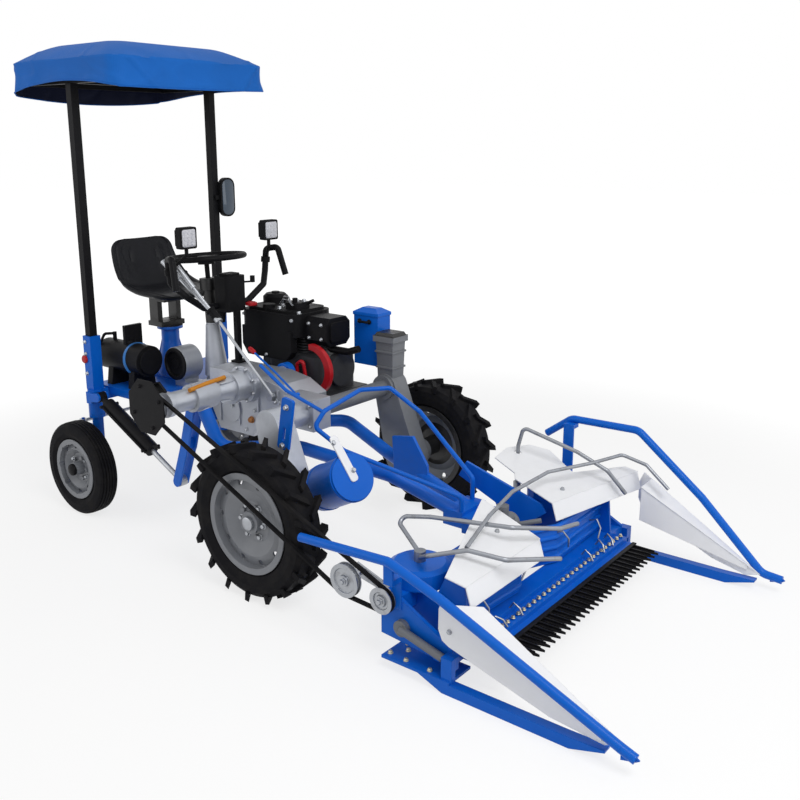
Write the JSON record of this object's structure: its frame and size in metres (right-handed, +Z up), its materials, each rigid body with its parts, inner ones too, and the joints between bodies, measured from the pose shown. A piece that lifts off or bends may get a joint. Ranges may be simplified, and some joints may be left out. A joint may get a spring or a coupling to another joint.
{
  "type": "reaper binder",
  "caption": "Ride-on reaper binder with a front cutter bar, crop dividers, packer rods, knotter, twine can, rear-wheel steering, driver's seat and a cloth canopy on posts",
  "frame": {"origin": "on the ground, midway between the divider tips and the canopy's rear edge, on the machine's middle plane", "axes": "X forward, Y to the machine's left, Z up"},
  "size_m": [3.512, 1.4746, 2.275],
  "materials": {
    "blue_paint": "gloss enamel",
    "white_paint": "gloss enamel",
    "silver_casting": "painted casting",
    "grey_casting": "painted casting",
    "black_paint": "satin paint",
    "black_plastic": "grained",
    "seat_vinyl": "embossed vinyl",
    "canvas": "coated woven cloth",
    "tyre_rubber": "matt",
    "belt_rubber": "matt",
    "bright_steel": "plated",
    "wheel_paint": "silver paint",
    "red_paint": "gloss paint"
  },
  "bodies": {
    "carrier": {"main_frame": "blue_paint", "platform": "blue_paint", "canopy_frame": "black_paint", "canopy": "canvas", "seat": "seat_vinyl", "seat_column": "blue_paint", "gearbox": "silver_casting", "axle_tube": "grey_casting", "drop_case_left": "grey_casting", "drop_case_right": "grey_casting", "pto_housing": "silver_casting", "pto_pulley": "bright_steel", "pto_guard": "black_paint", "tool_box": "blue_paint", "steering_column": "silver_casting", "console": "black_plastic", "handlebars": "black_paint", "work_lamps": "black_plastic", "engine_block": "grey_casting", "engine_shroud": "black_plastic", "engine_muffler": "black_paint", "engine_guard": "red_paint", "rear_tank": "black_paint", "control_levers": "bright_steel", "mirror": "black_plastic"},
    "steering": {"steering_wheel": "black_plastic"},
    "head": {"boom": "blue_paint", "head_frame": "blue_paint", "cutter_bar": "blue_paint", "fingers": "black_paint", "shield_right": "white_paint", "shield_left": "white_paint", "divider_right": "white_paint", "divider_left": "white_paint", "divider_tubes": "blue_paint", "skids": "blue_paint", "throat_guides": "blue_paint", "knotter": "grey_casting", "packers": "bright_steel", "crank_drums": "blue_paint", "head_pulleys": "bright_steel", "drive_belt": "belt_rubber", "knife_drive": "grey_casting", "twine_can": "blue_paint", "twine_arm": "white_paint", "guard_hoop": "blue_paint"},
    "sleeve": {"strut_sleeve": "black_paint"},
    "strut": {"strut_rod": "bright_steel"},
    "knuckle_r": {"knuckle_right": "blue_paint"},
    "knuckle_l": {"knuckle_left": "blue_paint"},
    "tie": {"tie_rod": "bright_steel"},
    "wheel_front_right": {"tyre_front_right": "tyre_rubber", "rim_front_right": "wheel_paint"},
    "wheel_front_left": {"tyre_front_left": "tyre_rubber", "rim_front_left": "wheel_paint"},
    "wheel_rear_right": {"tyre_rear_right": "tyre_rubber", "rim_rear_right": "wheel_paint"},
    "wheel_rear_left": {"tyre_rear_left": "tyre_rubber", "rim_rear_left": "wheel_paint"}
  },
  "joints": [
    {"name": "spin_front_right", "type": "hinge", "parent": "carrier", "child": "wheel_front_right", "pos_m": [0.044, -0.608, 0.332], "axis": [0, 1, 0], "continuous": true},
    {"name": "spin_front_left", "type": "hinge", "parent": "carrier", "child": "wheel_front_left", "pos_m": [0.044, 0.608, 0.332], "axis": [0, 1, 0], "continuous": true},
    {"name": "steer_right", "type": "hinge", "parent": "carrier", "child": "knuckle_r", "pos_m": [-1.306, -0.412, 0.45], "axis": [0, 0, 1], "range_deg": [-35, 35]},
    {"name": "steer_left", "type": "hinge", "parent": "carrier", "child": "knuckle_l", "pos_m": [-1.306, 0.412, 0.45], "axis": [0, 0, 1], "range_deg": [-35, 35]},
    {"name": "spin_rear_right", "type": "hinge", "parent": "knuckle_r", "child": "wheel_rear_right", "pos_m": [-1.306, -0.52, 0.235], "axis": [0, 1, 0], "continuous": true},
    {"name": "spin_rear_left", "type": "hinge", "parent": "knuckle_l", "child": "wheel_rear_left", "pos_m": [-1.306, 0.52, 0.235], "axis": [0, 1, 0], "continuous": true},
    {"name": "tie_swing", "type": "hinge", "parent": "knuckle_r", "child": "tie", "pos_m": [-1.436, -0.412, 0.426], "axis": [0, 0, 1], "range_deg": [-35, 35]},
    {"name": "steering_turn", "type": "hinge", "parent": "carrier", "child": "steering", "pos_m": [-0.906, 0, 1.268], "axis": [-0.0745, 0, 0.9972], "range_deg": [-350, 350]},
    {"name": "header_lift", "type": "hinge", "parent": "carrier", "child": "head", "pos_m": [-0.451, 0, 0.735], "axis": [0, -1, 0], "range_deg": [0, 7]},
    {"name": "strut_swing", "type": "hinge", "parent": "carrier", "child": "sleeve", "pos_m": [-1.206, -0.45, 0.6], "axis": [0, -1, 0], "range_deg": [0, 0.742]},
    {"name": "strut_slide", "type": "slide", "parent": "sleeve", "child": "strut", "axis": [0.8886, 0, -0.4587], "range_m": [0, 0.0566]}
  ],
  "couplings": [
    {"joint": "steer_left", "follows": "steer_right", "ratio": 1},
    {"joint": "tie_swing", "follows": "steer_right", "ratio": -1},
    {"joint": "steering_turn", "follows": "steer_right", "ratio": -10},
    {"joint": "strut_swing", "follows": "header_lift", "ratio": 0.106},
    {"joint": "strut_slide", "follows": "header_lift", "m_per_rad": 0.4625}
  ]
}
